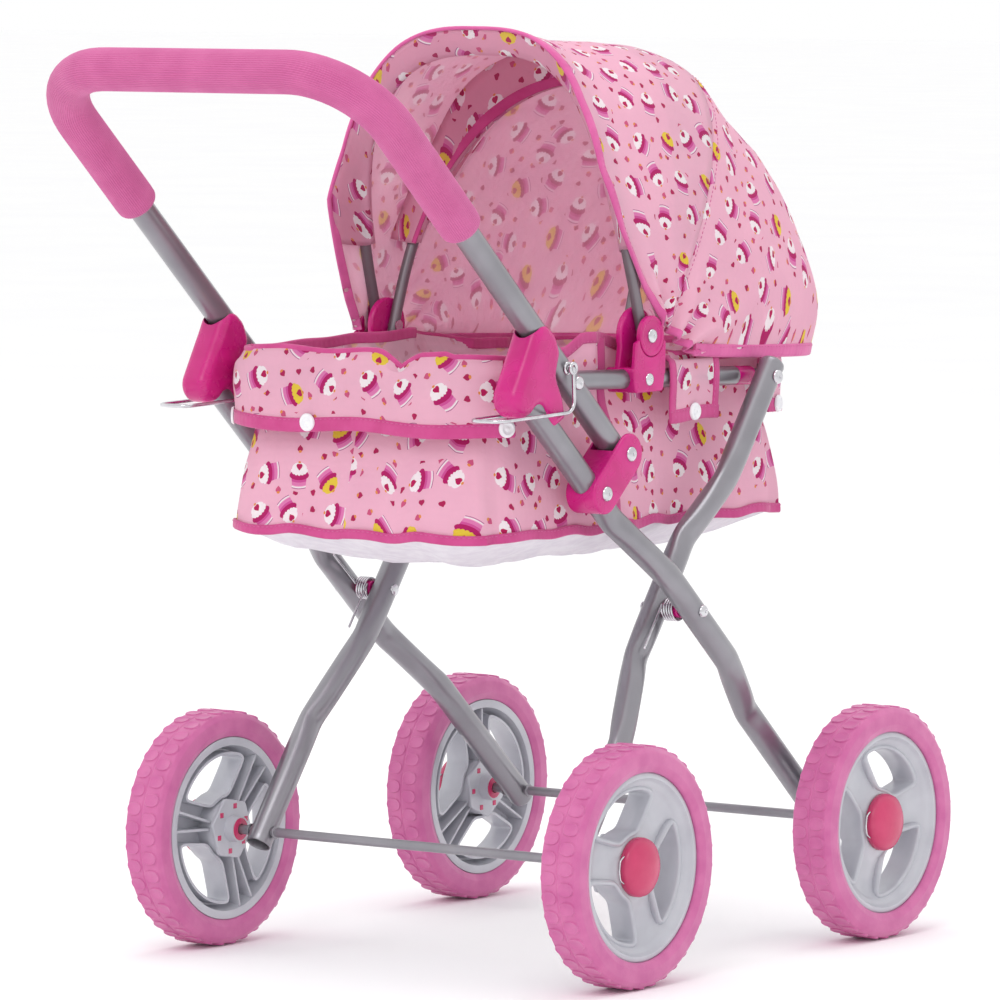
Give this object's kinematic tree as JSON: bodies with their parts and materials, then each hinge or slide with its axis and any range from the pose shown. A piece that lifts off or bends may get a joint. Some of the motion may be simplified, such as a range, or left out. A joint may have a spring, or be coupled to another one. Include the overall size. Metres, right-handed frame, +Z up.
{
  "type": "doll stroller",
  "caption": "Folding doll stroller: crossed tube frame, push handle with foam grip, printed fabric basket, two-bow hood and foam-tyred spoked wheels.",
  "frame": {"origin": "centre of the bounding box, on the ground under the wheels", "axes": "+X is the right side seen from the handle, +Y points away from the handle towards the hood, +Z is up"},
  "size_m": [0.3506, 0.5678, 0.5749],
  "materials": {
    "painted_tube": "silver-grey paint, satin",
    "steel": "bright zinc",
    "tyre_foam": "soft pink foam",
    "wheel_plastic": "satin silver-grey",
    "cap_plastic": "gloss",
    "magenta_plastic": "semi-gloss",
    "grip_foam": "matt ribbed foam",
    "print_fabric": "printed light pink cotton"
  },
  "bodies": {
    "front_legs": {"front_leg_l": "painted_tube", "front_leg_r": "painted_tube", "front_axle": "painted_tube", "link_bracket_l": "magenta_plastic", "link_bracket_r": "magenta_plastic", "lock_clip_l": "magenta_plastic", "lock_clip_r": "magenta_plastic", "bracket_rivet_l": "steel", "bracket_rivet_r": "steel", "handle_pivot_rivet_l": "steel", "handle_pivot_rivet_r": "steel", "cross_rivet_l": "steel", "cross_rivet_r": "steel", "cross_spacer_l": "magenta_plastic", "cross_spacer_r": "magenta_plastic", "torsion_spring_l": "steel", "torsion_spring_r": "steel"},
    "rear_legs": {"rear_leg_l": "painted_tube", "rear_leg_r": "painted_tube", "rear_axle": "painted_tube", "leg_top_rivet_l": "steel", "leg_top_rivet_r": "steel"},
    "handle": {"handle_tube": "painted_tube", "handle_grip": "grip_foam", "rail_rivet_l": "steel", "rail_rivet_r": "steel", "bail_rivet_l": "steel", "bail_rivet_r": "steel"},
    "bail_l": {"safety_bail_l": "steel"},
    "bail_r": {"safety_bail_r": "steel"},
    "basket_frame": {"side_rail_l": "painted_tube", "side_rail_r": "painted_tube", "front_hoop": "painted_tube", "rear_hoop": "painted_tube", "rail_plug_l": "magenta_plastic", "rail_plug_r": "magenta_plastic", "hood_bracket_l": "magenta_plastic", "hood_bracket_r": "magenta_plastic", "bow_pin_l": "steel", "bow_pin_r": "steel", "basket": "print_fabric", "canopy_front": "print_fabric"},
    "front_bow": {"front_bow": "painted_tube"},
    "rear_bow": {"rear_bow": "painted_tube", "bow_hub_l": "magenta_plastic", "bow_hub_r": "magenta_plastic", "canopy_rear": "print_fabric"},
    "rear_wheel_l": {"rear_wheel_l": "wheel_plastic", "rear_tyre_l": "tyre_foam", "rear_cap_l": "cap_plastic"},
    "rear_wheel_r": {"rear_wheel_r": "wheel_plastic", "rear_tyre_r": "tyre_foam", "rear_cap_r": "cap_plastic"},
    "front_wheel_l": {"front_wheel_l": "wheel_plastic", "front_tyre_l": "tyre_foam", "front_cap_l": "cap_plastic"},
    "front_wheel_r": {"front_wheel_r": "wheel_plastic", "front_tyre_r": "tyre_foam", "front_cap_r": "cap_plastic"}
  },
  "joints": [
    {"name": "handle_fold", "type": "hinge", "parent": "front_legs", "child": "handle", "pos_m": [0, -0.01257, 0.318], "axis": [-1, 0, 0], "range_deg": [0, 150], "deforming": ["basket", "safety_bail_l", "safety_bail_r", "torsion_spring_l", "torsion_spring_r"]},
    {"name": "leg_cross", "type": "hinge", "parent": "front_legs", "child": "rear_legs", "pos_m": [0, 0.04843, 0.2184], "axis": [-1, 0, 0], "range_deg": [0, 70]},
    {"name": "rail_pivot", "type": "hinge", "parent": "handle", "child": "basket_frame", "pos_m": [0, -0.06267, 0.3635], "axis": [-1, 0, 0], "range_deg": [-112.8, 0]},
    {"name": "front_bow_fold", "type": "hinge", "parent": "basket_frame", "child": "front_bow", "pos_m": [0, 0.03883, 0.3865], "axis": [-1, 0, 0], "range_deg": [0, 55], "deforming": ["canopy_front"]},
    {"name": "rear_bow_fold", "type": "hinge", "parent": "front_bow", "child": "rear_bow", "pos_m": [0, 0.03883, 0.3865], "axis": [-1, 0, 0], "range_deg": [0, 28], "deforming": ["canopy_rear"]},
    {"name": "bail_l_lift", "type": "hinge", "parent": "handle", "child": "bail_l", "pos_m": [-0.1184, -0.07367, 0.373], "axis": [-1, 0, 0], "range_deg": [0, 50]},
    {"name": "bail_r_lift", "type": "hinge", "parent": "handle", "child": "bail_r", "pos_m": [0.1184, -0.07367, 0.373], "axis": [-1, 0, 0], "range_deg": [0, 50]},
    {"name": "rear_wheel_l_spin", "type": "hinge", "parent": "rear_legs", "child": "rear_wheel_l", "pos_m": [-0.1588, -0.05717, 0.074], "axis": [-1, 0, 0], "continuous": true},
    {"name": "rear_wheel_r_spin", "type": "hinge", "parent": "rear_legs", "child": "rear_wheel_r", "pos_m": [0.1588, -0.05717, 0.074], "axis": [-1, 0, 0], "continuous": true},
    {"name": "front_wheel_l_spin", "type": "hinge", "parent": "front_legs", "child": "front_wheel_l", "pos_m": [-0.1588, 0.21023, 0.074], "axis": [-1, 0, 0], "continuous": true},
    {"name": "front_wheel_r_spin", "type": "hinge", "parent": "front_legs", "child": "front_wheel_r", "pos_m": [0.1588, 0.21023, 0.074], "axis": [-1, 0, 0], "continuous": true}
  ],
  "couplings": [
    {"joint": "leg_cross", "follows": "handle_fold", "ratio": 0.46},
    {"joint": "rail_pivot", "follows": "handle_fold", "ratio": -0.745}
  ]
}
